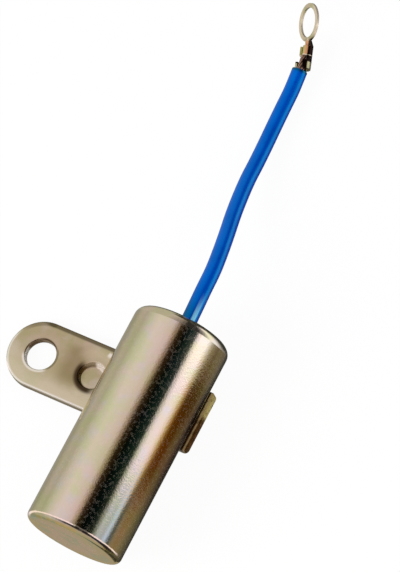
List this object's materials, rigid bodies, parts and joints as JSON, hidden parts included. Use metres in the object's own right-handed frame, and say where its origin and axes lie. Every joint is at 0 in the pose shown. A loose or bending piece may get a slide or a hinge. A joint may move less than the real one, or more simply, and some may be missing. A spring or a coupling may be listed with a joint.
{
  "type": "ignition condenser",
  "caption": "Small capped metal canister welded across a flat strip with a round-ended tongue and fixing hole, with a flexible insulated lead ending in a crimped ring terminal.",
  "frame": {"origin": "centre of the fixing hole, on the bracket's mounting face", "axes": "+Z points away from the surface that the bracket is screwed to, +Y runs along the can from its closed end to its lead end, and +X runs along the bracket's strip from the fixing hole to the can"},
  "size_m": [0.0407, 0.1102, 0.0203],
  "materials": {
    "can_plating": "yellow-passivated zinc plate, semi-bright with a faint iridescence",
    "bracket_plating": "yellow-passivated zinc plate on sheared strip",
    "winding_film": "foil and impregnated paper, waxy",
    "sleeve_board": "pressboard, matt",
    "spring_steel": "bright spring steel",
    "contact_brass": "bright brass",
    "eyelet_brass": "bright brass",
    "washer_laminate": "phenolic paper laminate",
    "seal_rubber": "matt black rubber",
    "solder": "bright solder",
    "lead_cover": "satin blue PVC",
    "strand_copper": "bare copper strands",
    "terminal_brass": "brass with a dull tin wash"
  },
  "bodies": {
    "root": {"can": "can_plating", "bracket": "bracket_plating", "winding": "winding_film", "insulating_sleeve": "sleeve_board", "earth_spring": "spring_steel", "live_contact": "contact_brass", "eyelet": "eyelet_brass", "insulating_washer": "washer_laminate", "rubber_seal": "seal_rubber", "solder_joint": "solder", "lead_insulation": "lead_cover", "lead_conductor": "strand_copper", "ring_terminal": "terminal_brass"}
  },
  "joints": []
}
